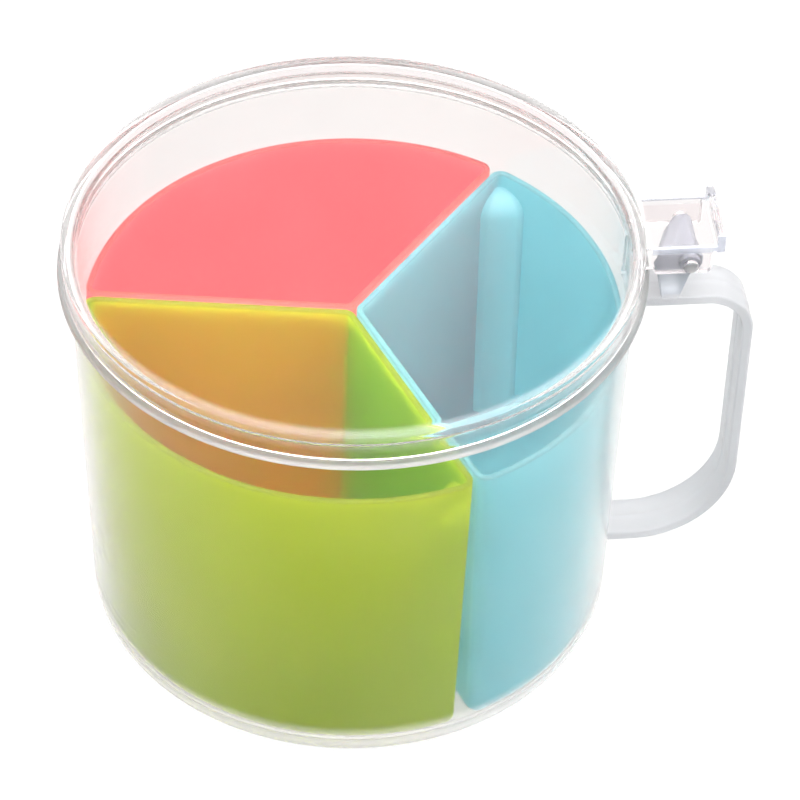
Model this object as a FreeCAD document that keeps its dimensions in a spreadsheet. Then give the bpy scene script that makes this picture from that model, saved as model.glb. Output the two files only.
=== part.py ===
import FreeCAD, Part
import math
import os
import Sketcher

# Lidded pot with three wedge cups: a round pot with a strap handle, a hinged
# cap lid that pivots on a post above the handle, and three 120 degree cups
# standing side by side in the pot. Millimetres, +Z up. The origin is the
# centre of the foot ring on the pot's axis, and the handle points along +X.

doc = FreeCAD.newDocument("wedge_cup_pot")
sheet = doc.addObject("Spreadsheet::Sheet", "Dims")

DRIVING = [
    # pot
    ("pot_base_radius", 53.37),
    ("pot_wall_radius", 55.16),
    ("pot_wall", 1.2),
    ("floor_top", 4.0),
    ("recess_depth", 1.8),
    ("recess_radius", 44.0),
    ("base_corner", 5.0),
    ("floor_corner", 2.6),
    ("flange_under", 84.6),
    ("flange_top", 86.0),
    ("flange_radius", 57.5),
    ("spigot_radius", 55.0),
    ("spigot_top", 88.9),
    # handle
    ("strap_width", 10.0),
    ("strap_thick", 2.1),
    ("strap_top", 76.5),
    ("strap_low", 9.0),
    ("strap_out", 79.7),
    ("bend_upper", 9.7),
    ("bend_lower", 20.7),
    ("root_out", 57.6),
    ("strap_edge", 0.45),
    # hinge
    ("pivot_out", 65.2),
    ("pivot_height", 86.4),
    ("pin_radius", 1.5),
    ("pin_length", 15.3),
    ("pin_play", 0.05),
    ("boss_radius", 2.6),
    ("boss_span", 12.1),
    # lid
    ("lid_radius", 56.65),
    ("lid_bore_radius", 55.45),
    ("lid_under", 86.3),
    ("lid_ceiling", 91.0),
    ("lid_top", 92.4),
    ("lid_corner", 0.6),
    # thumb tab
    ("tab_width", 15.6),
    ("tab_gap", 12.6),
    ("tab_top", 91.8),
    ("tab_plate", 1.2),
    ("ear_low", 85.2),
    ("ear_end", 69.2),
    ("ear_start", 58.1),
    ("lip_start", 69.9),
    ("lip_end", 71.5),
    ("lip_low", 90.25),
    ("lip_high", 94.5),
    # wedge cups
    ("cup_rim", 72.7),
    ("cup_low", 4.3),
    ("cup_radius", 53.2),
    ("cup_gap", 0.3),
    ("cup_draft", 1.0),
    ("cup_wall", 1.2),
    ("cup_corner", 2.6),
    ("cup_round", 2.4),
    ("turn", 51.6),
]

for row, (alias, number) in enumerate(DRIVING, start=1):
    sheet.set("A%d" % row, alias)
    sheet.set("B%d" % row, repr(number))
    sheet.setAlias("B%d" % row, alias)
doc.recompute()


class Size:
    """A length with its value now and the formula that keeps it tied to the sheet."""

    def __init__(self, value, formula):
        self.value = float(value)
        self.formula = formula

    def _with(self, other, sign, value):
        other = as_size(other)
        return Size(value(self.value, other.value), "(%s %s %s)" % (self.formula, sign, other.formula))

    def __add__(self, other):
        return self._with(other, "+", lambda a, b: a + b)

    def __sub__(self, other):
        return self._with(other, "-", lambda a, b: a - b)

    def __mul__(self, other):
        return self._with(other, "*", lambda a, b: a * b)

    def __truediv__(self, other):
        return self._with(other, "/", lambda a, b: a / b)


def as_size(x):
    return x if isinstance(x, Size) else Size(x, "(%r)" % float(x))


D = {alias: Size(number, "Dims.%s" % alias) for alias, number in DRIVING}


def bind(obj, prop, size):
    size = as_size(size)
    obj.setExpression(prop, size.formula)


def plane(body, role):
    return [f for f in body.Origin.OriginFeatures if f.Role == role][0]


def new_body(label):
    body = doc.addObject("PartDesign::Body", label)
    body.Label = label
    return body


def new_sketch(body, name, role, lift=None):
    sk = body.newObject("Sketcher::SketchObject", name)
    sk.AttachmentSupport = [(plane(body, role), "")]
    sk.MapMode = "FlatFace"
    if lift is not None:
        lift = as_size(lift)
        sk.AttachmentOffset = FreeCAD.Placement(FreeCAD.Vector(0, 0, lift.value), FreeCAD.Rotation())
        bind(sk, "AttachmentOffset.Base.z", lift)
    return sk


def polygon(sk, points):
    """A closed outline of straight sides whose corners are all tied to the sheet."""
    points = [(as_size(x), as_size(y)) for x, y in points]
    n = len(points)
    for i in range(n):
        (x0, y0), (x1, y1) = points[i], points[(i + 1) % n]
        sk.addGeometry(
            Part.LineSegment(
                FreeCAD.Vector(x0.value, y0.value, 0), FreeCAD.Vector(x1.value, y1.value, 0)
            ),
            False,
        )
    for i in range(n):
        sk.addConstraint(Sketcher.Constraint("Coincident", i, 2, (i + 1) % n, 1))
    for i, (x, y) in enumerate(points):
        for kind, size in (("DistanceX", x), ("DistanceY", y)):
            if abs(size.value) < 1e-9:
                # corner on an axis of the sketch
                sk.addConstraint(Sketcher.Constraint("PointOnObject", i, 1, -2 if kind == "DistanceX" else -1))
                continue
            k = sk.addConstraint(Sketcher.Constraint(kind, -1, 1, i, 1, size.value))
            bind(sk, "Constraints[%d]" % k, size)


def disc(sk, x, y, radius):
    """A circle tied to the sheet."""
    x, y, radius = as_size(x), as_size(y), as_size(radius)
    sk.addGeometry(Part.Circle(FreeCAD.Vector(x.value, y.value, 0), FreeCAD.Vector(0, 0, 1), radius.value), False)
    for kind, size in (("DistanceX", x), ("DistanceY", y)):
        k = sk.addConstraint(Sketcher.Constraint(kind, -1, 1, 0, 3, size.value))
        bind(sk, "Constraints[%d]" % k, size)
    k = sk.addConstraint(Sketcher.Constraint("Radius", 0, radius.value))
    bind(sk, "Constraints[%d]" % k, radius)


def turned(body, name, sk, cut=False):
    f = body.newObject("PartDesign::Groove" if cut else "PartDesign::Revolution", name)
    f.Profile = sk
    f.ReferenceAxis = (sk, ["V_Axis"])
    f.Angle = 360.0
    doc.recompute()
    return f


def pad(body, name, sk, length, middle=True):
    f = body.newObject("PartDesign::Pad", name)
    f.Profile = sk
    f.SideType = "Symmetric" if middle else "One side"
    bind(f, "Length", length)
    doc.recompute()
    return f


def pocket(body, name, sk, length, middle=True):
    f = body.newObject("PartDesign::Pocket", name)
    f.Profile = sk
    f.SideType = "Symmetric" if middle else "One side"
    bind(f, "Length", length)
    doc.recompute()
    return f


def pick(feature, test):
    """Names of the feature's edges that pass a test of their geometry."""
    return ["Edge%d" % i for i, e in enumerate(feature.Shape.Edges, start=1) if test(e)]


def circle_at(z, radius):
    z, radius = as_size(z).value, as_size(radius).value

    def test(e):
        c = e.Curve
        return (
            isinstance(c, Part.Circle)
            and abs(c.Center.z - z) < 0.02
            and abs(c.Radius - radius) < 0.02
        )

    return test


def across_at(x, z):
    """Straight edges along Y through a point of the XZ plane."""
    x, z = as_size(x).value, as_size(z).value

    def test(e):
        if not isinstance(e.Curve, Part.Line):
            return False
        a, b = e.Vertexes[0].Point, e.Vertexes[-1].Point
        return all(abs(p.x - x) < 0.02 and abs(p.z - z) < 0.02 for p in (a, b)) and abs(a.y - b.y) > 0.1

    return test


def fillet(body, name, base, edges, radius):
    if not edges:
        raise RuntimeError("no edges for " + name)
    f = body.newObject("PartDesign::Fillet", name)
    f.Base = (base, edges)
    bind(f, "Radius", radius)
    doc.recompute()
    if any(word in f.State for word in ("Invalid", "Error")):
        raise RuntimeError("%s failed: %s" % (name, f.getStatusString()))
    return f


pieces = []

# ---------------------------------------------------------------- pot shell
# One turned wall: flat foot ring round a shallow recess, drafted side, an
# outward flange that carries the lid, and a spigot that the lid drops over.
slope = (D["pot_wall_radius"] - D["pot_base_radius"]) / D["flange_under"]


def bore_radius(height):
    return D["pot_base_radius"] + slope * height - D["pot_wall"]


pot = new_body("pot_shell")
sk = new_sketch(pot, "pot_profile", "XZ_Plane")
polygon(
    sk,
    [
        (0, D["recess_depth"]),
        (D["recess_radius"] - D["recess_depth"], D["recess_depth"]),
        (D["recess_radius"], 0),
        (D["pot_base_radius"], 0),
        (D["pot_wall_radius"], D["flange_under"]),
        (D["flange_radius"], D["flange_under"]),
        (D["flange_radius"], D["flange_top"]),
        (D["spigot_radius"], D["flange_top"]),
        (D["spigot_radius"], D["spigot_top"]),
        (bore_radius(D["spigot_top"]), D["spigot_top"]),
        (bore_radius(D["floor_top"]), D["floor_top"]),
        (0, D["floor_top"]),
    ],
)
f = turned(pot, "pot_turning", sk)
f = fillet(pot, "base_rounding", f, pick(f, circle_at(0, D["pot_base_radius"])), D["base_corner"])
f = fillet(pot, "floor_rounding", f, pick(f, circle_at(D["floor_top"], bore_radius(D["floor_top"]))), D["floor_corner"])
f = fillet(
    pot,
    "flange_rounding",
    f,
    pick(f, circle_at(D["flange_top"], D["flange_radius"])) + pick(f, circle_at(D["flange_under"], D["flange_radius"])),
    0.45,
)
f = fillet(
    pot,
    "spigot_rounding",
    f,
    pick(f, circle_at(D["spigot_top"], D["spigot_radius"]))
    + pick(f, circle_at(D["spigot_top"], bore_radius(D["spigot_top"]))),
    0.35,
)
pieces.append(pot)

# ------------------------------------------------------------------- handle
# A flat strap bent into a loop, with an upright pad against the wall below
# the flange. Its roots follow the drafted wall.
handle = new_body("handle_strap")
sk = new_sketch(handle, "strap_outline", "XZ_Plane")
inside = D["pot_base_radius"] - 6.0
polygon(
    sk,
    [
        (inside, D["strap_top"]),
        (D["strap_out"], D["strap_top"]),
        (D["strap_out"], D["strap_low"]),
        (inside, D["strap_low"]),
        (inside, D["strap_low"] + D["strap_thick"]),
        (D["strap_out"] - D["strap_thick"], D["strap_low"] + D["strap_thick"]),
        (D["strap_out"] - D["strap_thick"], D["strap_top"] - D["strap_thick"]),
        (inside, D["strap_top"] - D["strap_thick"]),
    ],
)
f = pad(handle, "strap_pad", sk, D["strap_width"])
f = fillet(
    handle, "bend_upper_outside", f, pick(f, across_at(D["strap_out"], D["strap_top"])), D["bend_upper"]
)
f = fillet(
    handle,
    "bend_upper_inside",
    f,
    pick(f, across_at(D["strap_out"] - D["strap_thick"], D["strap_top"] - D["strap_thick"])),
    D["bend_upper"] - D["strap_thick"],
)
f = fillet(
    handle, "bend_lower_outside", f, pick(f, across_at(D["strap_out"], D["strap_low"])), D["bend_lower"]
)
f = fillet(
    handle,
    "bend_lower_inside",
    f,
    pick(f, across_at(D["strap_out"] - D["strap_thick"], D["strap_low"] + D["strap_thick"])),
    D["bend_lower"] - D["strap_thick"],
)


def strap_rim(e):
    """The long edges of the strap's two side faces, away from its roots."""
    half = D["strap_width"].value / 2
    ys = [abs(abs(v.Point.y) - half) < 0.01 for v in e.Vertexes]
    mid = e.valueAt((e.FirstParameter + e.LastParameter) / 2)
    return all(ys) and abs(e.Vertexes[0].Point.y - e.Vertexes[-1].Point.y) < 0.01 and mid.x > inside.value + 1


f = fillet(handle, "strap_rounding", f, pick(f, strap_rim), D["strap_edge"])
sk = new_sketch(handle, "root_outline", "XZ_Plane")
polygon(
    sk,
    [
        (inside, D["strap_top"] - D["strap_thick"] / 2),
        (D["root_out"], D["strap_top"] - D["strap_thick"] / 2),
        (D["root_out"], D["flange_under"]),
        (inside, D["flange_under"]),
    ],
)
f = pad(handle, "root_pad", sk, D["strap_width"] - D["strap_edge"] * 2)
sk = new_sketch(handle, "wall_outline", "XZ_Plane")
polygon(
    sk,
    [
        (0, 0),
        (D["pot_base_radius"], 0),
        (D["pot_wall_radius"], D["flange_under"]),
        (0, D["flange_under"]),
    ],
)
before = f.Shape.Volume
f = turned(handle, "wall_seat", sk, cut=True)
if f.Shape.Volume > before - 50:
    raise RuntimeError("the handle's roots were not cut to the wall")
pieces.append(handle)

# --------------------------------------------------------------- hinge post
# A waisted ear on top of the strap. In plan it is broad at the front and
# narrow at the back. Round bosses on its two sides space the lid's ears.
post = new_body("hinge_post")
half = D["strap_width"] / 2 - 0.2
front = new_sketch(post, "post_front", "XZ_Plane", half)
back = new_sketch(post, "post_back", "XZ_Plane", half * -1.0)
px, pz = D["pivot_out"], D["pivot_height"]


def post_outline(lean):
    return [
        (px - 4.6 + lean * 0.2, D["strap_top"]),
        (px - 1.4, D["strap_top"]),
        (px + 0.5, pz - 4.6),
        (px + 2.7, pz - 1.2),
        (px + 2.7, pz + 0.9),
        (px + 1.1, pz + 2.7),
        (px - 3.6 + lean, pz + 2.9),
        (px - 5.9 + lean, pz + 1.9),
        (px - 7.0 + lean, pz - 0.4),
        (px - 5.8 + lean * 0.75, pz - 4.6),
    ]


polygon(front, post_outline(as_size(0)))
polygon(back, post_outline(as_size(3.6)))
doc.recompute()
f = post.newObject("PartDesign::AdditiveLoft", "post_body")
f.Profile = front
f.Sections = [back]
f.Ruled = True
doc.recompute()
sk = new_sketch(post, "boss_outline", "XZ_Plane")
disc(sk, px, pz, D["boss_radius"])
f = pad(post, "boss_pad", sk, D["boss_span"])
sk = new_sketch(post, "bore_outline", "XZ_Plane")
disc(sk, px, pz, D["pin_radius"])
before = f.Shape.Volume
f = pocket(post, "pin_bore", sk, D["boss_span"] + 4)
if f.Shape.Volume > before - 20:
    raise RuntimeError("the pin's bore is missing")
pieces.append(post)

# ---------------------------------------------------------------- hinge pin
pin = new_body("hinge_pin")
sk = new_sketch(pin, "pin_outline", "XZ_Plane")
disc(sk, px, pz, D["pin_radius"])
f = pad(pin, "pin_pad", sk, D["pin_length"])
f = fillet(pin, "pin_ends", f, pick(f, lambda e: isinstance(e.Curve, Part.Circle)), 0.5)
pieces.append(pin)

# ------------------------------------------------------------------ lid cap
cap = new_body("lid_cap")
sk = new_sketch(cap, "cap_profile", "XZ_Plane")
polygon(
    sk,
    [
        (0, D["lid_ceiling"]),
        (D["lid_bore_radius"], D["lid_ceiling"]),
        (D["lid_bore_radius"], D["lid_under"]),
        (D["lid_radius"], D["lid_under"]),
        (D["lid_radius"], D["lid_top"]),
        (0, D["lid_top"]),
    ],
)
f = turned(cap, "cap_turning", sk)
f = fillet(cap, "cap_corner", f, pick(f, circle_at(D["lid_top"], D["lid_radius"])), D["lid_corner"])
f = fillet(cap, "cap_inner_corner", f, pick(f, circle_at(D["lid_ceiling"], D["lid_bore_radius"])), 1.5)
f = fillet(
    cap,
    "skirt_edges",
    f,
    pick(f, circle_at(D["lid_under"], D["lid_radius"])) + pick(f, circle_at(D["lid_under"], D["lid_bore_radius"])),
    0.3,
)
pieces.append(cap)

# ---------------------------------------------------------------- thumb tab
# A plate level with the lid's edge, two ears that straddle the post and take
# the pin, and a raised lip across the end for the thumb.
tab = new_body("thumb_tab")
inboard = D["lid_radius"] - 3.0
sk = new_sketch(tab, "plate_outline", "XZ_Plane")
polygon(
    sk,
    [
        (inboard, D["tab_top"] - D["tab_plate"]),
        (D["lip_start"], D["tab_top"] - D["tab_plate"]),
        (D["lip_start"], D["lip_low"]),
        (D["lip_end"], D["lip_low"]),
        (D["lip_end"], D["lip_high"]),
        (D["lip_start"], D["lip_high"]),
        (D["lip_start"], D["tab_top"]),
        (inboard, D["tab_top"]),
    ],
)
f = pad(tab, "plate_pad", sk, D["tab_width"])


def lip_edge(e):
    """The raised lip's long outer edges and the upright edges of its outer face."""
    x0, x1 = D["lip_start"].value, D["lip_end"].value
    z1 = D["lip_high"].value
    pts = [v.Point for v in e.Vertexes]
    outer = all(abs(p.x - x1) < 0.01 for p in pts)
    crest = all(abs(p.x - x0) < 0.01 and abs(p.z - z1) < 0.01 for p in pts)
    return outer or crest


f = fillet(tab, "lip_rounding", f, pick(f, lip_edge), 0.45)
sk = new_sketch(tab, "ear_outline", "XZ_Plane")
polygon(
    sk,
    [
        (inboard, D["lid_under"] + 0.3),
        (D["ear_start"], D["lid_under"] + 0.3),
        (D["ear_start"], D["ear_low"]),
        (D["ear_end"], D["ear_low"]),
        (D["ear_end"], D["tab_top"] - D["tab_plate"] / 2),
        (inboard, D["tab_top"] - D["tab_plate"] / 2),
    ],
)
f = pad(tab, "ear_pad", sk, D["tab_width"])
f = fillet(tab, "ear_corner", f, pick(f, across_at(D["ear_end"], D["ear_low"])), 1.2)
sk = new_sketch(tab, "slot_outline", "XZ_Plane")
polygon(
    sk,
    [
        (inboard - 2, D["ear_low"] - 2),
        (D["lip_start"] - 0.3, D["ear_low"] - 2),
        (D["lip_start"] - 0.3, D["tab_top"] - D["tab_plate"]),
        (inboard - 2, D["tab_top"] - D["tab_plate"]),
    ],
)
before = f.Shape.Volume
f = pocket(tab, "ear_slot", sk, D["tab_gap"])
if f.Shape.Volume > before - 300:
    raise RuntimeError("the gap between the ears is missing")
sk = new_sketch(tab, "eye_outline", "XZ_Plane")
disc(sk, px, pz, D["pin_radius"] + D["pin_play"])
before = f.Shape.Volume
f = pocket(tab, "ear_eyes", sk, D["tab_width"] + 4)
if f.Shape.Volume > before - 15:
    raise RuntimeError("the ears' eyes are missing")
sk = new_sketch(tab, "cap_seat_outline", "XZ_Plane")
polygon(
    sk,
    [
        (0, D["ear_low"] - 4),
        (D["lid_radius"], D["ear_low"] - 4),
        (D["lid_radius"], D["lip_high"] + 4),
        (0, D["lip_high"] + 4),
    ],
)
before = f.Shape.Volume
f = turned(tab, "cap_seat", sk, cut=True)
if f.Shape.Volume > before - 30:
    raise RuntimeError("the tab was not cut to the lid's edge")
pieces.append(tab)


# --------------------------------------------------------------- wedge cups
# Each cup is a drafted third of a round, hollow, with rounded corners. It is
# drawn about +X and turned into its place.
def wedge_outline(body, name, radius, gap):
    """A third of a round about +X at the rim's height, its straight sides set back by gap."""
    sk = new_sketch(body, name, "XY_Plane", D["cup_rim"])
    r, g = radius.value, gap.value
    c, s = math.cos(math.radians(60)), math.sin(math.radians(60))
    reach = math.sqrt(r * r - g * g)
    apex = FreeCAD.Vector(g / s, 0, 0)
    left = FreeCAD.Vector(reach * c + g * s, reach * s - g * c, 0)
    right = FreeCAD.Vector(left.x, -left.y, 0)
    turn = math.atan2(left.y, left.x)
    sk.addGeometry(Part.LineSegment(apex, right), False)
    sk.addGeometry(
        Part.ArcOfCircle(Part.Circle(FreeCAD.Vector(0, 0, 0), FreeCAD.Vector(0, 0, 1), r), -turn, turn), False
    )
    sk.addGeometry(Part.LineSegment(left, apex), False)
    sk.addConstraint(Sketcher.Constraint("Coincident", 1, 3, -1, 1))
    sk.addConstraint(Sketcher.Constraint("Coincident", 0, 2, 1, 1))
    sk.addConstraint(Sketcher.Constraint("Coincident", 1, 2, 2, 1))
    sk.addConstraint(Sketcher.Constraint("Coincident", 2, 2, 0, 1))
    sk.addConstraint(Sketcher.Constraint("PointOnObject", 0, 1, -1))
    k = sk.addConstraint(Sketcher.Constraint("Radius", 1, r))
    bind(sk, "Constraints[%d]" % k, radius)
    for side in (0, 2):
        k = sk.addConstraint(Sketcher.Constraint("Distance", -1, 1, side, g))
        bind(sk, "Constraints[%d]" % k, gap)
    sk.addConstraint(Sketcher.Constraint("Angle", 0, 1, 2, 2, math.radians(120)))
    doc.recompute()
    return sk


def wedge_cup(label, middle):
    body = new_body(label)
    low, rim = D["cup_low"].value, D["cup_rim"].value
    sk = wedge_outline(body, label + "_outline", D["cup_radius"], D["cup_gap"])
    f = body.newObject("PartDesign::Pad", label + "_block")
    f.Profile = sk
    f.Reversed = True
    bind(f, "Length", D["cup_rim"] - D["cup_low"])
    bind(f, "TaperAngle", D["cup_draft"] * -1.0)
    doc.recompute()

    def upright(z0):
        def test(e):
            zs = sorted(v.Point.z for v in e.Vertexes)
            return len(zs) == 2 and abs(zs[0] - z0) < 0.05 and abs(zs[1] - rim) < 0.05

        return test

    def level(z0):
        def test(e):
            return e.BoundBox.ZLength < 0.05 and abs(e.CenterOfMass.z - z0) < 0.05

        return test

    solid = f.Shape.Volume
    sk = wedge_outline(
        body, label + "_inside", D["cup_radius"] - D["cup_wall"], D["cup_gap"] + D["cup_wall"]
    )
    f = body.newObject("PartDesign::Pocket", label + "_hollow")
    f.Profile = sk
    bind(f, "Length", D["cup_rim"] - D["cup_low"] - D["cup_wall"])
    bind(f, "TaperAngle", D["cup_draft"] * -1.0)
    doc.recompute()
    if f.Shape.Volume > solid * 0.4:
        raise RuntimeError(label + " is not hollow")
    floor = low + D["cup_wall"].value
    # the inside is rounded first, so that the wall is never cut through at a corner
    f = fillet(body, label + "_inner_corners", f, pick(f, upright(floor)), D["cup_corner"] - D["cup_wall"])
    f = fillet(body, label + "_inner_rounding", f, pick(f, level(floor)), D["cup_round"] - D["cup_wall"])
    f = fillet(body, label + "_corners", f, pick(f, upright(low)), D["cup_corner"])
    f = fillet(body, label + "_rounding", f, pick(f, level(low)), D["cup_round"])
    f = fillet(body, label + "_rim_rounding", f, pick(f, level(rim)), 0.4)
    body.Placement = FreeCAD.Placement(FreeCAD.Vector(0, 0, 0), FreeCAD.Rotation(FreeCAD.Vector(0, 0, 1), 0))
    bind(body, "Placement.Rotation.Angle", middle)
    pieces.append(body)


wedge_cup("pink_cup", D["turn"] + 60)
wedge_cup("green_cup", D["turn"] + 180)
wedge_cup("blue_cup", D["turn"] - 60)

doc.recompute()

# ------------------------------------------------------------------- checks
for obj in doc.Objects:
    if any(word in obj.State for word in ("Invalid", "Error")):
        raise RuntimeError("%s is %s" % (obj.Label, obj.State))
os.makedirs("parts", exist_ok=True)
for body in pieces:
    shape = body.Shape
    if shape.isNull() or not shape.isValid() or len(shape.Solids) != 1:
        raise RuntimeError("%s has no single valid solid" % body.Label)
    box = shape.BoundBox
    print(
        "%-13s %9.1f mm3  x %.2f..%.2f  y %.2f..%.2f  z %.2f..%.2f"
        % (body.Label, shape.Volume, box.XMin, box.XMax, box.YMin, box.YMax, box.ZMin, box.ZMax)
    )
for body in pieces:
    body.Shape.exportStep("parts/%s.step" % body.Label)
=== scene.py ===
import math

import bmesh
import bpy
from mathutils import Matrix, Vector


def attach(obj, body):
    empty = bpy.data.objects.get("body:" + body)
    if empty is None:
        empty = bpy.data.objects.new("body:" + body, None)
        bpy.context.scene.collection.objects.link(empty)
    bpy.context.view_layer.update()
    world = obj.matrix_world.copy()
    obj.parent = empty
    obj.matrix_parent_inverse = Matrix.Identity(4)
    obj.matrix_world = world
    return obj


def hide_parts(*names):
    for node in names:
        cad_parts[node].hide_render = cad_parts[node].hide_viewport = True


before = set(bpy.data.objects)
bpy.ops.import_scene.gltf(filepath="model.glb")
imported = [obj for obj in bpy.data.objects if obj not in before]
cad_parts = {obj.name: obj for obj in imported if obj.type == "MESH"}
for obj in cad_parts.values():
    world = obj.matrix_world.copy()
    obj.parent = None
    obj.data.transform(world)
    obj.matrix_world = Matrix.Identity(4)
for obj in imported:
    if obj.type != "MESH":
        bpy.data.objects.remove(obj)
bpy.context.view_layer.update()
MM = 0.001
scene = bpy.context.scene

# ------------------------------------------------------------------ mesh kit
# Pieces are drawn in millimetres in the part's own frame and stored in metres.


def make(name, verts, faces):
    me = bpy.data.meshes.new(name)
    me.from_pydata([(x * MM, y * MM, z * MM) for x, y, z in verts], [], faces)
    bm = bmesh.new()
    bm.from_mesh(me)
    bmesh.ops.remove_doubles(bm, verts=bm.verts, dist=1e-7)
    bmesh.ops.recalc_face_normals(bm, faces=bm.faces)
    bm.to_mesh(me)
    bm.free()
    ob = bpy.data.objects.new(name, me)
    scene.collection.objects.link(ob)
    return ob


def rounded(corners, closed=True):
    """A polyline through (x, y, radius, steps) corners, each rounded by an arc with a close point before and after it."""
    out = []
    n = len(corners)
    for i, (x, y, r, steps) in enumerate(corners):
        p = Vector((x, y))
        if r <= 0 or (not closed and i in (0, n - 1)):
            out.append((x, y))
            continue
        a = Vector(corners[i - 1][:2]) - p
        b = Vector(corners[(i + 1) % n][:2]) - p
        la, lb = a.length, b.length
        a.normalize()
        b.normalize()
        half = math.acos(max(-1.0, min(1.0, a.dot(b)))) / 2
        cut = r / math.tan(half)
        centre = p + (a + b).normalized() * (r / math.sin(half))
        start, end = p + a * cut, p + b * cut
        u, v = start - centre, end - centre
        turn = math.atan2(u.x * v.y - u.y * v.x, u.dot(v))
        near = min(0.18, r * 0.4)
        if la > cut + near * 2:
            q = p + a * (cut + near)
            out.append((q.x, q.y))
        for k in range(steps + 1):
            t = turn * k / steps
            c, s = math.cos(t), math.sin(t)
            out.append((centre.x + u.x * c - u.y * s, centre.y + u.x * s + u.y * c))
        if lb > cut + near * 2:
            q = p + b * (cut + near)
            out.append((q.x, q.y))
    return out


def lathe(name, profile, seg):
    """Turns an open (r, z) profile, from axis to axis, about Z."""
    verts, rows = [], []
    for r, z in profile:
        if r < 1e-6:
            rows.append([len(verts)] * seg)
            verts.append((0.0, 0.0, z))
        else:
            rows.append(list(range(len(verts), len(verts) + seg)))
            for k in range(seg):
                t = 2 * math.pi * k / seg
                verts.append((r * math.cos(t), r * math.sin(t), z))
    faces = []
    for a, b in zip(rows, rows[1:]):
        for k in range(seg):
            m = (k + 1) % seg
            quad = [a[k], a[m], b[m], b[k]]
            f = [v for i, v in enumerate(quad) if v not in quad[:i]]
            if len(f) > 2:
                faces.append(f)
    return make(name, verts, faces)


def loft(name, rings, flat=False):
    """Skins closed rings of equal length, and closes both ends towards their middles or with one flat face."""
    n = len(rings[0])
    verts = [p for ring in rings for p in ring]
    faces = []
    for j in range(len(rings) - 1):
        for k in range(n):
            m = (k + 1) % n
            faces.append([j * n + k, j * n + m, (j + 1) * n + m, (j + 1) * n + k])
    if flat:
        last = (len(rings) - 1) * n
        faces.append(list(range(n))[::-1])
        faces.append(list(range(last, last + n)))
    else:
        for j in (0, len(rings) - 1):
            mid = [sum(p[i] for p in rings[j]) / n for i in range(3)]
            base = j * n
            for share in (0.82, 0.45):
                row = len(verts)
                for p in rings[j]:
                    verts.append(tuple(mid[i] + (p[i] - mid[i]) * share for i in range(3)))
                for k in range(n):
                    m = (k + 1) % n
                    faces.append([base + k, base + m, row + m, row + k])
                base = row
            verts.append(tuple(mid))
            for k in range(n):
                faces.append([base + k, base + (k + 1) % n, len(verts) - 1])
    return make(name, verts, faces)


def slab(name, outline, y0, y1, edge, steps=3):
    """An outline in the XZ plane, thick along Y, its two rims rounded by edge."""
    n = len(outline)
    area = sum(outline[i][0] * outline[(i + 1) % n][1] - outline[(i + 1) % n][0] * outline[i][1] for i in range(n))
    sign = 1 if area > 0 else -1

    def inset(d):
        out = []
        for i in range(n):
            a, p, b = Vector(outline[i - 1]), Vector(outline[i]), Vector(outline[(i + 1) % n])
            na = Vector((-(p - a).y, (p - a).x)).normalized() * sign
            nb = Vector((-(b - p).y, (b - p).x)).normalized() * sign
            k = na + nb
            k = k / max(k.length_squared / 2, 0.3)
            out.append((p.x + k.x * d, p.y + k.y * d))
        return out

    rings = []
    for side, y in ((1, y0), (-1, y1)):
        rows = []
        for k in range(steps + 1):
            t = math.pi / 2 * k / steps
            d, h = edge * (1 - math.sin(t)), edge * (1 - math.cos(t))
            rows.append([(x, y + side * h, z) for x, z in inset(d)])
        rows.append([(x, y + side * edge * 1.4, z) for x, z in outline])
        rings += rows if side > 0 else rows[::-1]
    return loft(name, rings, flat=True)


def combine(a, b, operation="UNION"):
    """Joins b into a, or cuts it from a, as one closed skin."""
    mod = a.modifiers.new("join", "BOOLEAN")
    mod.operation = operation
    mod.solver = "EXACT"
    mod.object = b
    bpy.context.view_layer.update()
    me = bpy.data.meshes.new_from_object(a.evaluated_get(bpy.context.evaluated_depsgraph_get()))
    a.modifiers.clear()
    old, a.data = a.data, me
    bpy.data.meshes.remove(old)
    old = b.data
    bpy.data.objects.remove(b)
    bpy.data.meshes.remove(old)
    return a


def smooth(ob, degrees=32):
    bm = bmesh.new()
    bm.from_mesh(ob.data)
    bmesh.ops.remove_doubles(bm, verts=bm.verts, dist=2e-7)
    bmesh.ops.dissolve_degenerate(bm, edges=bm.edges, dist=1e-7)
    bm.to_mesh(ob.data)
    bm.free()
    ob.data.shade_smooth()
    ob.data.set_sharp_from_angle(angle=math.radians(degrees))
    return ob


# -------------------------------------------------------------- pot moulding
BASE_R, WALL_R, FLANGE_LOW, WALL_T = 53.37, 55.16, 84.6, 1.2


def wall_radius(z):
    return BASE_R + (WALL_R - BASE_R) * z / FLANGE_LOW


def bore_radius(z):
    return wall_radius(z) - WALL_T


pot_profile = rounded(
    [
        (0, 1.8, 0, 0),
        (42.2, 1.8, 1.2, 5),
        (44.0, 0.0, 0.5, 5),
        (BASE_R, 0.0, 5.0, 14),
        (WALL_R, FLANGE_LOW, 0.5, 6),
        (57.5, FLANGE_LOW, 0.45, 6),
        (57.5, 86.0, 0.45, 6),
        (55.0, 86.0, 0.3, 5),
        (55.0, 88.9, 0.35, 6),
        (bore_radius(88.9), 88.9, 0.35, 6),
        (bore_radius(4.0), 4.0, 2.6, 10),
        (0, 4.0, 0, 0),
    ],
    closed=False,
)
# a low moulding ring round the gate under the base, and rings across the flats
pot_profile = (
    [(0, 1.8), (2.0, 1.8), (2.5, 1.55), (3.3, 1.35), (4.1, 1.55), (4.6, 1.8), (14, 1.8), (28, 1.8)]
    + pot_profile[1:-1]
    + [(36, 4.0), (18, 4.0), (0, 4.0)]
)
pot = lathe("pot_moulding", pot_profile, 480)

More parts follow.
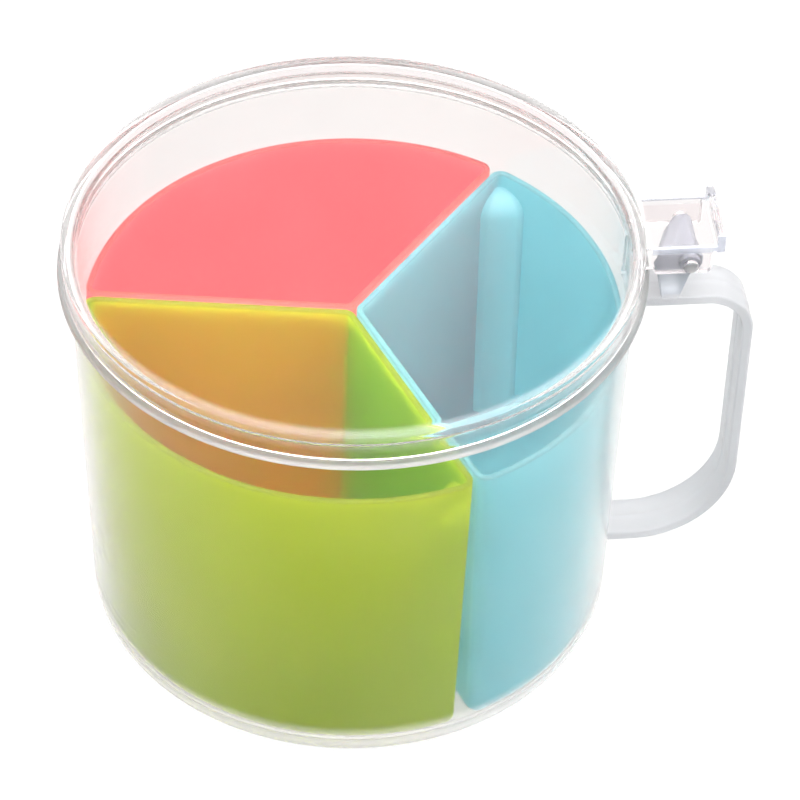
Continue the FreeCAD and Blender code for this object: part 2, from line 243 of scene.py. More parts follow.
# strap handle: a flat band with rounded edges and a faint ridge along its middle
band = rounded(
    [(-5.0, -1.05, 0.45, 5), (5.0, -1.05, 0.45, 5), (5.0, 1.05, 0.45, 5), (-5.0, 1.05, 0.45, 5)]
)


def ridge(points):
    out = []
    for i, (y, t) in enumerate(points):
        out.append((y, t))
        y2, t2 = points[(i + 1) % len(points)]
        if abs(t - t2) < 1e-6 and abs(y - y2) > 5:
            s = 1 if t > 0 else -1
            way = 1 if y2 > y else -1
            for k in (-3.4, -1.7, -0.34, -0.16, 0, 0.16, 0.34, 1.7, 3.4):
                lift = 0.11 if abs(k) < 0.05 else (0.08 if abs(k) < 0.2 else 0.0)
                out.append((k * way, t + s * lift))
    return out


band = ridge(band)
line = rounded(
    [
        (54.2, 75.45, 0, 0),
        (78.53, 75.45, 8.65, 18),
        (78.53, 10.05, 19.65, 26),
        (52.9, 10.05, 0, 0),
    ],
    closed=False,
)
rings = []
for i, (x, z) in enumerate(line):
    a = Vector(line[max(i - 1, 0)])
    b = Vector(line[min(i + 1, len(line) - 1)])
    t = (b - a).normalized()
    out = Vector((-t.y, t.x))
    rings.append([(x + out.x * d, y, z + out.y * d) for y, d in band])
handle = loft("handle", rings)
root = slab(
    "root",
    rounded([(54.3, 75.2, 0, 0), (57.6, 75.2, 0, 0), (57.6, 84.9, 0.4, 4), (54.3, 84.9, 0, 0)]),
    -4.55,
    4.55,
    0.4,
)
combine(handle, root)

# hinge post: waisted, broad at the front and narrow at the back
PX, PZ = 65.2, 86.4


def post_outline(lean):
    return rounded(
        [
            (PX - 4.6 + lean * 0.2, 75.6, 0.4, 5),
            (PX - 1.4, 75.6, 0.4, 5),
            (PX + 0.5, PZ - 4.6, 2.0, 6),
            (PX + 2.7, PZ - 1.2, 1.2, 6),
            (PX + 2.7, PZ + 0.9, 1.0, 6),
            (PX + 1.1, PZ + 2.7, 1.0, 6),
            (PX - 3.6 + lean, PZ + 2.9, 1.0, 6),
            (PX - 5.9 + lean, PZ + 1.9, 1.2, 6),
            (PX - 7.0 + lean, PZ - 0.4, 1.2, 6),
            (PX - 5.8 + lean * 0.75, PZ - 4.6, 2.0, 6),
        ]
    )


front, back = post_outline(0.0), post_outline(3.6)
# the back is drawn in on its outer side as well
back = [(x - max(0.0, x - PX) * 0.55, z) for x, z in back]
rings = []
H = 4.8
for k in range(9):
    t = -1 + 2 * k / 8
    rings.append([(f[0] * (1 - t) / 2 + b[0] * (1 + t) / 2, t * H, f[1]) for f, b in zip(front, back)])


def shrunk(ring, d, y):
    mx = sum(p[0] for p in ring) / len(ring)
    mz = sum(p[2] for p in ring) / len(ring)
    out = []
    for x, _, z in ring:
        q = Vector((x - mx, z - mz))
        k = max(0.0, 1 - d / q.length)
        out.append((mx + q.x * k, y, mz + q.y * k))
    return out


E = 0.6
lead, tail = rings[0], rings[-1]
rings[0] = [(x, -H + E, z) for x, _, z in lead]
rings[-1] = [(x, H - E, z) for x, _, z in tail]
for k in range(1, 5):
    t = math.pi / 2 * k / 4
    d, h = E * (1 - math.cos(t)), E * math.sin(t)
    rings.insert(0, shrunk(lead, d, -H + E - h))
    rings.append(shrunk(tail, d, H - E + h))
post = loft("post", rings, flat=True)


def rod(name, radius, y0, y1, edge, seg=48, phase=0.0):
    """A round bar along Y through the pivot."""
    prof = [(0.0, y0)] + [
        (radius - edge * (1 - math.sin(t)), y0 + edge * (1 - math.cos(t)))
        for t in [math.pi / 2 * k / 4 for k in range(5)]
    ]
    far = [(r, y0 + y1 - y) for r, y in prof[::-1]]
    verts, rows = [], []
    for r, y in prof + far:
        if r < 1e-6:
            rows.append([len(verts)] * seg)
            verts.append((PX, y, PZ))
        else:
            rows.append(list(range(len(verts), len(verts) + seg)))
            for k in range(seg):
                a = 2 * math.pi * (k + phase) / seg
                verts.append((PX + r * math.cos(a), y, PZ + r * math.sin(a)))
    faces = []
    for a, b in zip(rows, rows[1:]):
        for k in range(seg):
            quad = [a[k], a[(k + 1) % seg], b[(k + 1) % seg], b[k]]
            f = [v for i, v in enumerate(quad) if v not in quad[:i]]
            if len(f) > 2:
                faces.append(f)
    return make(name, verts, faces)


combine(post, rod("front_boss", 2.1, -6.05, -1.0, 0.25, phase=0.13))
combine(post, rod("back_boss", 2.1, 1.0, 6.05, 0.25, phase=0.21))
combine(handle, post)
combine(pot, handle)
combine(pot, rod("pin_bore", 1.5, -9.0, 9.0, 0.1, phase=0.37), "DIFFERENCE")
smooth(pot)

pin = smooth(rod("pivot_pin", 1.48, -7.65, 7.65, 0.5))

# -------------------------------------------------------------- lid moulding
# the flat top falls away over its last two millimetres before the edge
EDGE_START, EDGE_REACH, EDGE_FALL = 53.9, 2.9, 0.9


def lid_height(r):
    t = max(0.0, (r - EDGE_START) / EDGE_REACH)
    return 92.4 - EDGE_FALL * (1 - math.sqrt(max(0.0, 1 - t * t)))


lid_profile = rounded(
    [
        (0, 91.0, 0, 0),
        (55.45, 91.0, 1.5, 12),
        (55.45, 86.3, 0.3, 5),
        (56.65, 86.3, 0.3, 5),
        (56.65, lid_height(56.0) - 0.12, 0.55, 8),
        (55.9, lid_height(55.9), 0, 0),
    ],
    closed=False,
)
lid_profile = (
    [(0, 91.0), (13, 91.0), (27, 91.0), (41, 91.0)]
    + lid_profile[1:]
    + [(r, lid_height(r)) for r in (55.6, 55.3, 55.0, 54.7, 54.4, 54.15, 53.9, 53.6)]
    + [(41, 92.4), (27, 92.4), (13, 92.4), (0, 92.4)]
)
lid = lathe("lid_moulding", lid_profile, 480)
plate = slab(
    "plate",
    rounded(
        [
            (55.2, 90.6, 0, 0),
            (69.9, 90.6, 0.1, 3),
            (69.9, 90.25, 0.22, 4),
            (71.5, 90.25, 0.45, 5),
            (71.5, 94.5, 0.6, 6),
            (69.9, 94.5, 0.6, 6),
            (69.9, 91.8, 0.25, 4),
            (55.2, 91.8, 0, 0),
        ]
    ),
    -7.8,
    7.8,
    0.18,
)
ears = slab(
    "ears",
    rounded(
        [
            (55.2, 86.6, 0, 0),
            (58.1, 86.6, 0.3, 3),
            (58.1, 85.2, 0.4, 4),
            (69.2, 85.2, 1.2, 7),
            (69.2, 91.2, 0, 0),
            (55.2, 91.2, 0, 0),
        ]
    ),
    -7.79,
    7.79,
    0.25,
)
slot_cut = slab(
    "slot_cut", [(50.0, 80.0), (69.6, 80.0), (69.6, 90.7), (56.9, 90.7), (56.9, 95.0), (50.0, 95.0)], -6.3, 6.3, 0.05, 2
)
combine(ears, slot_cut, "DIFFERENCE")
combine(plate, ears)
combine(plate, rod("eyes", 1.55, -9.0, 9.0, 0.1), "DIFFERENCE")
combine(lid, plate)
smooth(lid)


# ---------------------------------------------------------------- wedge cups
DRAFT = math.tan(math.radians(1.0))
CUP_RIM, CUP_LOW, CUP_R, CUP_GAP, CUP_T = 72.7, 4.3, 53.2, 0.3, 1.2
CORNER = 2.6
WEB, WEB_TOP, WEB_RISE = 6.8, CUP_RIM - 3.2, 4.7
STEPS, SIDE, ARC = 14, 14, 64


def fillet_points(radius, gap, r):
    """The rounded outer corner between the straight side and the arc."""
    s60, c60 = math.sin(math.radians(60)), math.cos(math.radians(60))
    inner, off = radius - r, gap + r
    along = math.sqrt(inner * inner - off * off)
    x, y = along * c60 + off * s60, -(along * s60 - off * c60)
    start, end = math.radians(210), math.atan2(y, x) % (2 * math.pi)
    return [
        (x + r * math.cos(start + (end - start) * k / STEPS), y + r * math.sin(start + (end - start) * k / STEPS))
        for k in range(STEPS + 1)
    ]


def web_points(radius, gap, size):
    """A flat panel with sloped shoulders across the inside of the outer corner."""
    a = (size, 0.0)
    b = (size * 0.95, size * 0.215)
    row = [a]
    row += [(a[0] + (b[0] - a[0]) * t, a[1] + (b[1] - a[1]) * t) for t in (0.5, 0.9)]
    row += [(b[0] - size * 0.018, b[1] + size * 0.03)]
    c, d = (b[0] - size * 0.05, b[1] + size * 0.065), (b[1] + size * 0.065, b[0] - size * 0.05)
    middle = [(c[0] + (d[0] - c[0]) * k / 6, c[1] + (d[1] - c[1]) * k / 6) for k in range(7)]
    row = row + middle + [(v, u) for u, v in row[::-1]]
    out = []
    for u, v in row:
        rho = radius - u
        t = -math.radians(60) + math.asin(gap / rho) + v / rho
        out.append((rho * math.cos(t), rho * math.sin(t)))
    return out


def wedge(radius, gap, apex_r, near, far):
    """A third of a round about +X: two straight sides set back by gap, one arc, three shaped corners."""
    s60 = math.sin(math.radians(60))
    mid = (gap + apex_r) / s60
    apex = [
        (mid + apex_r * math.cos(math.radians(150 + 60 * k / STEPS)), apex_r * math.sin(math.radians(150 + 60 * k / STEPS)))
        for k in range(STEPS + 1)
    ]
    first = apex[-1]

    def flank(corner):
        last = corner[0]
        steps = [k / SIDE for k in range(1, SIDE)]
        return [(first[0] + (last[0] - first[0]) * t, first[1] + (last[1] - first[1]) * t) for t in steps] + corner

    a0, a1 = math.atan2(near[-1][1], near[-1][0]), -math.atan2(far[-1][1], far[-1][0])
    arc = [(radius * math.cos(a0 + (a1 - a0) * k / ARC), radius * math.sin(a0 + (a1 - a0) * k / ARC)) for k in range(1, ARC)]
    return apex + flank(near) + arc + [(x, -y) for x, y in reversed(flank(far))]


def web_size(z):
    """The panel's reach at a height: an arched top, then straight down to the floor."""
    up = (z - (WEB_TOP - WEB_RISE)) / WEB_RISE
    if up >= 1:
        return 0.0
    return WEB * (math.sqrt(1 - up * up) if up > 0 else 1.0)


def cup(name, middle):
    turn = math.radians(middle)
    ct, st = math.cos(turn), math.sin(turn)

    def ring(z, inset, outer):
        fall = DRAFT * (CUP_RIM - z)
        d = inset + fall + (0 if outer else CUP_T)
        r = max((CORNER if outer else CORNER - CUP_T) - inset, 0.3)
        size = 0.0 if outer else web_size(z)
        near = far = fillet_points(CUP_R - d, CUP_GAP + d, r)
        if size > r * 1.25:
            far = web_points(CUP_R - d, CUP_GAP + d, size)
        pts = wedge(CUP_R - d, CUP_GAP + d, r, near, far)
        return [(x * ct - y * st, x * st + y * ct, z) for x, y in pts]

    rings = []
    # inside, from the floor's edge up
    floor, r_in = CUP_LOW + CUP_T, 1.2
    for k in range(9):
        t = math.pi / 2 * k / 8
        rings.append(ring(floor + r_in * (1 - math.cos(t)), r_in * (1 - math.sin(t)), False))
    levels = [floor + r_in + 0.4, 16, 26, 36, 46, 56, 62, 64, 64.6]
    levels += [64.8 + 0.35 * k for k in range(14)] + [69.45, 69.6, 70.2, 71.2, 71.9]
    for z in levels:
        rings.append(ring(z, 0.0, False))
    # over the rim
    e = 0.4
    for k in range(6):
        t = math.pi / 2 * k / 5
        rings.append(ring(CUP_RIM - e + e * math.sin(t), -e * (1 - math.cos(t)), False))
    for k in range(5, -1, -1):
        t = math.pi / 2 * k / 5
        rings.append(ring(CUP_RIM - e + e * math.sin(t), e * (1 - math.cos(t)), True))
    # down the outside and under
    r_out = 2.4
    for z in (71.9, 71.0, 62, 52, 42, 32, 22, CUP_LOW + r_out + 2, CUP_LOW + r_out + 0.4):
        rings.append(ring(z, 0.0, True))
    for k in range(8, -1, -1):
        t = math.pi / 2 * k / 8
        rings.append(ring(CUP_LOW + r_out * (1 - math.cos(t)), r_out * (1 - math.sin(t)), True))
    return smooth(loft(name, rings), 40)


TURN = 51.6
pink = cup("pink_wedge_cup", TURN + 60)
green = cup("green_wedge_cup", TURN + 180)
blue = cup("blue_wedge_cup", TURN - 60)

# ----------------------------------------------------------------- materials


def material(name):
    m = bpy.data.materials.new(name)
    m.use_nodes = True
    nt = m.node_tree
    for n in list(nt.nodes):
        if n.type not in ("OUTPUT_MATERIAL", "BSDF_PRINCIPLED"):
            nt.nodes.remove(n)
    p = next(n for n in nt.nodes if n.type == "BSDF_PRINCIPLED")
    out = next(n for n in nt.nodes if n.type == "OUTPUT_MATERIAL")
    return m, nt, p, out


def noise(nt, scale, detail=3.0, rough=0.55, stretch=None):
    co = nt.nodes.new("ShaderNodeTexCoord")
    src = co.outputs["Object"]
    if stretch:
        mp = nt.nodes.new("ShaderNodeMapping")
        mp.inputs["Scale"].default_value = stretch
        nt.links.new(src, mp.inputs["Vector"])
        src = mp.outputs["Vector"]
    n = nt.nodes.new("ShaderNodeTexNoise")
    n.inputs["Scale"].default_value = scale
    n.inputs["Detail"].default_value = detail
    n.inputs["Roughness"].default_value = rough
    nt.links.new(src, n.inputs["Vector"])
    return n.outputs["Fac"]


def spread(nt, value, low, high, from_low=0.3, from_high=0.7):
    r = nt.nodes.new("ShaderNodeMapRange")
    r.inputs["From Min"].default_value = from_low
    r.inputs["From Max"].default_value = from_high
    r.inputs["To Min"].default_value = low
    r.inputs["To Max"].default_value = high
    nt.links.new(value, r.inputs["Value"])
    return r.outputs["Result"]


def shades(nt, value, a, b, low=0.3, high=0.7):
    r = nt.nodes.new("ShaderNodeValToRGB")
    r.color_ramp.elements[0].position = low
    r.color_ramp.elements[0].color = (*a, 1)
    r.color_ramp.elements[1].position = high
    r.color_ramp.elements[1].color = (*b, 1)
    nt.links.new(value, r.inputs["Fac"])
    return r.outputs["Color"]


def bump(nt, value, strength, distance, normal=None):
    b = nt.nodes.new("ShaderNodeBump")
    b.inputs["Strength"].default_value = strength
    b.inputs["Distance"].default_value = distance
    nt.links.new(value, b.inputs["Height"])
    if normal is not None:
        nt.links.new(normal, b.inputs["Normal"])
    return b.outputs["Normal"]


def maths(nt, op, a, b):
    n = nt.nodes.new("ShaderNodeMath")
    n.operation = op
    for i, v in enumerate((a, b)):
        if isinstance(v, (int, float)):
            n.inputs[i].default_value = v
        else:
            nt.links.new(v, n.inputs[i])
    return n.outputs[0]


def frosted():
    """Milky where the moulding is thick (foot, flange, handle, post), clearer on the thin wall; polished inside; the
    hinge post carries painted grey-blue shade.
    """
    m, nt, p, out = material("frosted_plastic")
    co = nt.nodes.new("ShaderNodeTexCoord")
    flat = nt.nodes.new("ShaderNodeVectorMath")
    flat.operation = "MULTIPLY"
    flat.inputs[1].default_value = (1, 1, 0)
    nt.links.new(co.outputs["Object"], flat.inputs[0])
    length = nt.nodes.new("ShaderNodeVectorMath")
    length.operation = "LENGTH"
    nt.links.new(flat.outputs[0], length.inputs[0])
    sep = nt.nodes.new("ShaderNodeSeparateXYZ")
    nt.links.new(co.outputs["Object"], sep.inputs[0])
    height = sep.outputs["Z"]
    # distance from the axis with the wall's draft taken out
    reach = maths(nt, "SUBTRACT", length.outputs["Value"], maths(nt, "MULTIPLY", height, 0.02116))
    outside = spread(nt, reach, 0.0, 1.0, 0.0525, 0.053)
    thick = spread(nt, reach, 0.0, 1.0, 0.05355, 0.0539)
    foot = spread(nt, height, 1.0, 0.0, 0.0042, 0.009)
    haze = maths(nt, "MAXIMUM", maths(nt, "MULTIPLY", thick, 0.12), maths(nt, "MULTIPLY", foot, 0.37))
    pillar = maths(nt, "MULTIPLY", spread(nt, reach, 0.0, 1.0, 0.056, 0.0564), spread(nt, height, 0.0, 1.0, 0.0768, 0.0776))
    across = maths(nt, "MULTIPLY", sep.outputs["Y"], sep.outputs["Y"])
    tips = maths(nt, "MULTIPLY", pillar, spread(nt, across, 0.0, 1.0, 0.00608**2, 0.00612**2))
    pillar = maths(nt, "SUBTRACT", pillar, tips)
    haze = maths(nt, "MAXIMUM", haze, maths(nt, "MULTIPLY", pillar, 0.36))
    cloud = noise(nt, 45, 4)
    haze = maths(nt, "ADD", haze, spread(nt, cloud, 0.0, 0.01))
    nt.links.new(maths(nt, "SUBTRACT", 1.0, haze), p.inputs["Transmission Weight"])
    tone = nt.nodes.new("ShaderNodeMix")
    tone.data_type = "RGBA"
    nt.links.new(maths(nt, "SUBTRACT", thick, tips), tone.inputs["Factor"])
    nt.links.new(shades(nt, cloud, (0.91, 0.895, 0.88), (0.94, 0.925, 0.91)), tone.inputs["A"])
    nt.links.new(shades(nt, cloud, (0.54, 0.545, 0.56), (0.58, 0.585, 0.6)), tone.inputs["B"])
    brim = maths(nt, "MULTIPLY", spread(nt, reach, 1.0, 0.0, 0.056, 0.0564), spread(nt, height, 0.0, 1.0, 0.0836, 0.0842))
    ring = nt.nodes.new("ShaderNodeMix")
    ring.data_type = "RGBA"
    nt.links.new(maths(nt, "MULTIPLY", brim, thick), ring.inputs["Factor"])
    nt.links.new(tone.outputs["Result"], ring.inputs["A"])
    nt.links.new(shades(nt, cloud, (0.37, 0.375, 0.37), (0.41, 0.415, 0.41)), ring.inputs["B"])
    # painted shade: the hinge post gets a grey-blue colour for the shade it shows; its extra haze is the thick
    # moulding's milkiness
    post_painted_shade = nt.nodes.new("ShaderNodeMix")
    post_painted_shade.data_type = "RGBA"
    nt.links.new(pillar, post_painted_shade.inputs["Factor"])
    nt.links.new(ring.outputs["Result"], post_painted_shade.inputs["A"])
    nt.links.new(shades(nt, cloud, (0.43, 0.455, 0.5), (0.47, 0.495, 0.54)), post_painted_shade.inputs["B"])
    nt.links.new(post_painted_shade.outputs["Result"], p.inputs["Base Color"])
    rough = maths(nt, "ADD", maths(nt, "MULTIPLY", outside, 0.15), spread(nt, noise(nt, 70, 3), 0.015, 0.04))
    rough = maths(nt, "ADD", rough, maths(nt, "MULTIPLY", thick, 0.3))
    low = maths(nt, "MULTIPLY", outside, spread(nt, height, 0.05, 0.0, 0.004, 0.03))
    rough = maths(nt, "ADD", rough, low)
    nt.links.new(rough, p.inputs["Roughness"])
    p.inputs["IOR"].default_value = 1.32
    p.inputs["Specular Tint"].default_value = (0.55, 0.55, 0.55, 1)
    p.inputs["Sheen Weight"].default_value = 0.11
    p.inputs["Sheen Roughness"].default_value = 0.35
    p.inputs["Sheen Tint"].default_value = (1.0, 0.96, 0.93, 1)
    n = bump(nt, noise(nt, 3200, 2), 0.06, 0.00005)
    nt.links.new(n, p.inputs["Normal"])
    return m


def clear():
    """Clear over the middle, a little softer round the edge; the thumb tab is faintly pink, with painted grey-blue
    shade on its hazier side edges.
    """
    m, nt, p, out = material("clear_plastic")
    co = nt.nodes.new("ShaderNodeTexCoord")
    sep = nt.nodes.new("ShaderNodeSeparateXYZ")
    nt.links.new(co.outputs["Object"], sep.inputs[0])
    flat = nt.nodes.new("ShaderNodeVectorMath")
    flat.operation = "MULTIPLY"
    flat.inputs[1].default_value = (1, 1, 0)
    nt.links.new(co.outputs["Object"], flat.inputs[0])
    length = nt.nodes.new("ShaderNodeVectorMath")
    length.operation = "LENGTH"
    nt.links.new(flat.outputs[0], length.inputs[0])
    rim = spread(nt, length.outputs["Value"], 0.0, 1.0, 0.0538, 0.0552)
    tab = spread(nt, sep.outputs["X"], 0.0, 1.0, 0.0568, 0.0574)
    across = maths(nt, "MULTIPLY", sep.outputs["Y"], sep.outputs["Y"])
    sides = spread(nt, across, 0.0, 1.0, 0.0071**2, 0.0074**2)
    sides = maths(nt, "MULTIPLY", sides, spread(nt, sep.outputs["Z"], 0.0, 1.0, 0.0901, 0.0905))
    sides = maths(nt, "MULTIPLY", sides, tab)
    corner = maths(
        nt,
        "MULTIPLY",
        spread(nt, length.outputs["Value"], 0.0, 1.0, 0.054, 0.0553),
        spread(nt, sep.outputs["Z"], 0.0, 1.0, 0.0882, 0.089),
    )
    corner = maths(nt, "MULTIPLY", corner, maths(nt, "SUBTRACT", 1.0, tab))
    hem = maths(
        nt,
        "MAXIMUM",
        spread(nt, sep.outputs["Z"], 1.0, 0.0, 0.0854, 0.0858),
        maths(nt, "MULTIPLY", spread(nt, sep.outputs["X"], 0.0, 1.0, 0.0687, 0.069), spread(nt, sep.outputs["Z"], 1.0, 0.0, 0.0899, 0.0903)),
    )
    hem = maths(nt, "MULTIPLY", hem, tab)
    cloud = noise(nt, 38, 4)
    tone = nt.nodes.new("ShaderNodeMix")
    tone.data_type = "RGBA"
    nt.links.new(tab, tone.inputs["Factor"])
    nt.links.new(shades(nt, cloud, (0.94, 0.915, 0.915), (0.96, 0.935, 0.935)), tone.inputs["A"])
    nt.links.new(shades(nt, cloud, (0.89, 0.855, 0.855), (0.93, 0.895, 0.895)), tone.inputs["B"])
    # painted shade: the tab's side edges get a grey-blue colour for the darkness clear edges show; their milkiness is
    # haze
    tab_edge_painted_shade = nt.nodes.new("ShaderNodeMix")
    tab_edge_painted_shade.data_type = "RGBA"
    nt.links.new(sides, tab_edge_painted_shade.inputs["Factor"])
    nt.links.new(tone.outputs["Result"], tab_edge_painted_shade.inputs["A"])
    nt.links.new(shades(nt, cloud, (0.5, 0.52, 0.58), (0.54, 0.56, 0.62)), tab_edge_painted_shade.inputs["B"])
    soft = nt.nodes.new("ShaderNodeMix")
    soft.data_type = "RGBA"
    nt.links.new(corner, soft.inputs["Factor"])
    nt.links.new(tab_edge_painted_shade.outputs["Result"], soft.inputs["A"])
    nt.links.new(shades(nt, cloud, (0.93, 0.91, 0.905), (0.95, 0.93, 0.925)), soft.inputs["B"])
    nt.links.new(soft.outputs["Result"], p.inputs["Base Color"])
    milk = maths(nt, "MAXIMUM", maths(nt, "MULTIPLY", sides, 0.35), maths(nt, "MULTIPLY", corner, 0.05))
    milk = maths(nt, "MAXIMUM", milk, maths(nt, "MULTIPLY", hem, 0.3))
    nt.links.new(maths(nt, "SUBTRACT", 1.0, milk), p.inputs["Transmission Weight"])
    rough = maths(nt, "ADD", spread(nt, cloud, 0.01, 0.035), maths(nt, "MULTIPLY", rim, 0.04))
    nt.links.new(rough, p.inputs["Roughness"])
    p.inputs["IOR"].default_value = 1.25
    p.inputs["Specular Tint"].default_value = (0.6, 0.6, 0.6, 1)
    n = bump(nt, noise(nt, 55, 2), 0.05, 0.0004)
    nt.links.new(n, p.inputs["Normal"])
    return m


def tinted(name, face, through, outer, share):
    """Coloured plastic that lets diffuse light through: a satin face over a lighter inside, with painted shade as a
    darker through colour in the outer wall and a darker rim.
    """
    m, nt, p, out = material(name)
    co = nt.nodes.new("ShaderNodeTexCoord")
    sep = nt.nodes.new("ShaderNodeSeparateXYZ")
    nt.links.new(co.outputs["Object"], sep.inputs[0])
    rim = spread(nt, sep.outputs["Z"], 0.0, 1.0, 0.072, 0.0725)
    flat = nt.nodes.new("ShaderNodeVectorMath")
    flat.operation = "MULTIPLY"
    flat.inputs[1].default_value = (1, 1, 0)
    nt.links.new(co.outputs["Object"], flat.inputs[0])
    length = nt.nodes.new("ShaderNodeVectorMath")
    length.operation = "LENGTH"
    nt.links.new(flat.outputs[0], length.inputs[0])
    # distance from the axis with the cup's draft taken out
    reach = maths(nt, "SUBTRACT", length.outputs["Value"], maths(nt, "MULTIPLY", sep.outputs["Z"], 0.01746))
    wall = spread(nt, reach, 0.0, 1.0, 0.0499, 0.0505)
    vary = noise(nt, 28, 4)

    def blend(amount, a, b):
        n = nt.nodes.new("ShaderNodeMix")
        n.data_type = "RGBA"
        nt.links.new(amount, n.inputs["Factor"])
        nt.links.new(a, n.inputs["A"])
        nt.links.new(b, n.inputs["B"])
        return n.outputs["Result"]

    def rim_shade(pair, k):
        return [tuple(c * k for c in colour) for colour in pair]

    # painted shade: from 72 mm up the rim's face colour is darkened to 0.65 to hold back the light the rim catches
    skin = blend(rim, shades(nt, vary, *face), shades(nt, vary, *rim_shade(face, 0.65)))
    nt.links.new(skin, p.inputs["Base Color"])
    nt.links.new(spread(nt, noise(nt, 90, 3), 0.28, 0.42), p.inputs["Roughness"])
    n = bump(nt, noise(nt, 2600, 2), 0.1, 0.00005)
    nt.links.new(n, p.inputs["Normal"])
    t = nt.nodes.new("ShaderNodeBsdfTranslucent")
    # painted shade: the outer wall lets through a darker colour than the inner walls, so the outside looks shaded
    glow = blend(wall, shades(nt, vary, *through), shades(nt, vary, *outer))
    # painted shade: the rim's through colour is darkened to 0.72 as well
    glow = blend(rim, glow, shades(nt, vary, *rim_shade(through, 0.72)))
    nt.links.new(glow, t.inputs["Color"])
    nt.links.new(n, t.inputs["Normal"])
    mix = nt.nodes.new("ShaderNodeMixShader")
    mix.inputs[0].default_value = share
    nt.links.new(p.outputs["BSDF"], mix.inputs[1])
    nt.links.new(t.outputs["BSDF"], mix.inputs[2])
    nt.links.new(mix.outputs["Shader"], out.inputs["Surface"])
    return m


FROSTED, CLEAR = frosted(), clear()
# each cup's third colour pair is its outer wall's darker through colour, painted shade
PINK = tinted(
    "pink_plastic",
    ((0.98, 0.155, 0.18), (1.0, 0.185, 0.21)),
    ((0.96, 0.55, 0.51), (0.98, 0.59, 0.55)),
    ((0.98, 0.44, 0.47), (1.0, 0.48, 0.51)),
    0.82,
)
GREEN = tinted(
    "green_plastic",
    ((0.45, 0.64, 0.055), (0.5, 0.69, 0.07)),
    ((0.74, 0.8, 0.14), (0.79, 0.85, 0.165)),
    ((0.6, 0.67, 0.066), (0.64, 0.71, 0.082)),
    0.84,
)
BLUE = tinted(
    "blue_plastic",
    ((0.26, 0.64, 0.7), (0.3, 0.69, 0.75)),
    ((0.57, 0.83, 0.87), (0.62, 0.88, 0.92)),
    ((0.44, 0.75, 0.81), (0.48, 0.79, 0.85)),
    0.64,
)


def finish_piece(ob, body, mat, slot, *nodes):
    ob.data.materials.clear()
    ob.data.materials.append(mat)
    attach(ob, body)
    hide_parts(*nodes)


finish_piece(pot, "pot", FROSTED, "frosted_plastic", "pot_shell", "handle_strap", "hinge_post")
finish_piece(pin, "pot", FROSTED, "frosted_plastic", "hinge_pin")
finish_piece(lid, "lid", CLEAR, "clear_plastic", "lid_cap", "thumb_tab")
finish_piece(pink, "pink", PINK, "pink_plastic", "pink_cup")
finish_piece(green, "green", GREEN, "green_plastic", "green_cup")
finish_piece(blue, "blue", BLUE, "blue_plastic", "blue_cup")

# --------------------------------------------------------------------- stage
bm = bmesh.new()
bmesh.ops.create_grid(bm, x_segments=2, y_segments=2, size=3.0)
me = bpy.data.meshes.new("floor")
bm.to_mesh(me)
bm.free()
floor = bpy.data.objects.new("floor", me)
floor.location.z = -0.0002
scene.collection.objects.link(floor)
m, nt, p, out = material("floor_paper")
p.inputs["Base Color"].default_value = (0.02, 0.02, 0.02, 1)
p.inputs["Roughness"].default_value = 0.9
p.inputs["Specular IOR Level"].default_value = 0.0
p.inputs["Emission Color"].default_value = (1, 1, 1, 1)
p.inputs["Emission Strength"].default_value = 0.98
floor.data.materials.append(m)

# soft studio: white all round, brightest overhead, with a broad side at the right and front and softer ones at the left and back
world = bpy.data.worlds.new("studio")
scene.world = world
world.use_nodes = True
nt = world.node_tree
bg = next(n for n in nt.nodes if n.type == "BACKGROUND")
bg.inputs["Color"].default_value = (1, 1, 1, 1)
where = nt.nodes.new("ShaderNodeTexCoord")


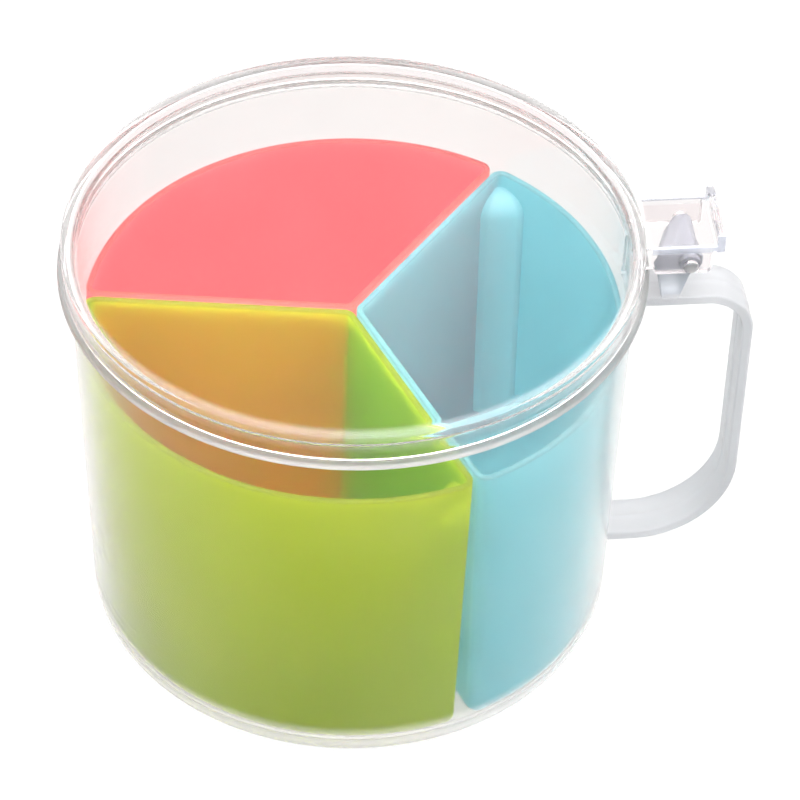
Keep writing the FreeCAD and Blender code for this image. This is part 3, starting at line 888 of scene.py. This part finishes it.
def lobe(direction, near, far, gain):
    dot = nt.nodes.new("ShaderNodeVectorMath")
    dot.operation = "DOT_PRODUCT"
    dot.inputs[1].default_value = Vector(direction).normalized()
    nt.links.new(where.outputs["Generated"], dot.inputs[0])
    r = nt.nodes.new("ShaderNodeMapRange")
    r.interpolation_type = "SMOOTHSTEP"
    r.inputs["From Min"].default_value = near
    r.inputs["From Max"].default_value = far
    r.inputs["To Min"].default_value = 0.0
    r.inputs["To Max"].default_value = gain
    nt.links.new(dot.outputs["Value"], r.inputs["Value"])
    return r.outputs["Result"]


def add(a, b):
    n = nt.nodes.new("ShaderNodeMath")
    n.operation = "ADD"
    nt.links.new(a, n.inputs[0])
    if isinstance(b, float):
        n.inputs[1].default_value = b
    else:
        nt.links.new(b, n.inputs[1])
    return n.outputs[0]


light = add(lobe((0.8, -0.45, 0.4), 0.35, 0.95, 1.4), 0.32)
light = add(light, lobe((0.06, -0.05, 1.0), 0.54, 1.0, 11.3))
light = add(light, lobe((-0.8, -0.5, 0.3), 0.3, 1.0, 0.6))
light = add(light, lobe((0.08, 0.72, 0.69), 0.7, 1.0, 0.25))
light = add(light, lobe((0.0, 1.0, 0.0), 0.0, 0.7, 0.25))
light = add(light, lobe((0.0, 1.0, 0.08), 0.8, 1.0, 0.55))
light = add(light, lobe((-1.0, 0.25, 0.08), 0.75, 1.0, 0.8))
light = add(light, lobe((-0.6, 0.8, 0.25), 0.5, 1.0, 0.6))
light = add(light, lobe((0.75, 0.6, 0.25), 0.5, 1.0, 0.5))
nt.links.new(light, bg.inputs["Strength"])

scene.cycles.max_bounces = 40
scene.cycles.diffuse_bounces = 10
scene.cycles.glossy_bounces = 24
scene.cycles.transmission_bounces = 40
scene.cycles.transparent_max_bounces = 24
scene.cycles.use_denoising = True

scene.view_settings.view_transform = "Standard"
scene.view_settings.look = "None"

# -------------------------------------------------------------------- camera
cam_data = bpy.data.cameras.new("camera")
cam_data.lens = 156.25
cam_data.sensor_width = 36.0
cam_data.clip_start, cam_data.clip_end = 0.01, 50
cam = bpy.data.objects.new("camera", cam_data)
scene.collection.objects.link(cam)
right = Vector((0.99568, -0.09058, 0.02038)).normalized()
forward = Vector((0.07983, 0.72313, -0.68608)).normalized()
up = right.cross(forward).normalized()
cam.matrix_world = Matrix(
    (
        (right.x, up.x, -forward.x, -0.04622),
        (right.y, up.y, -forward.y, -0.50787),
        (right.z, up.z, -forward.z, 0.52951),
        (0, 0, 0, 1),
    )
)
scene.camera = cam
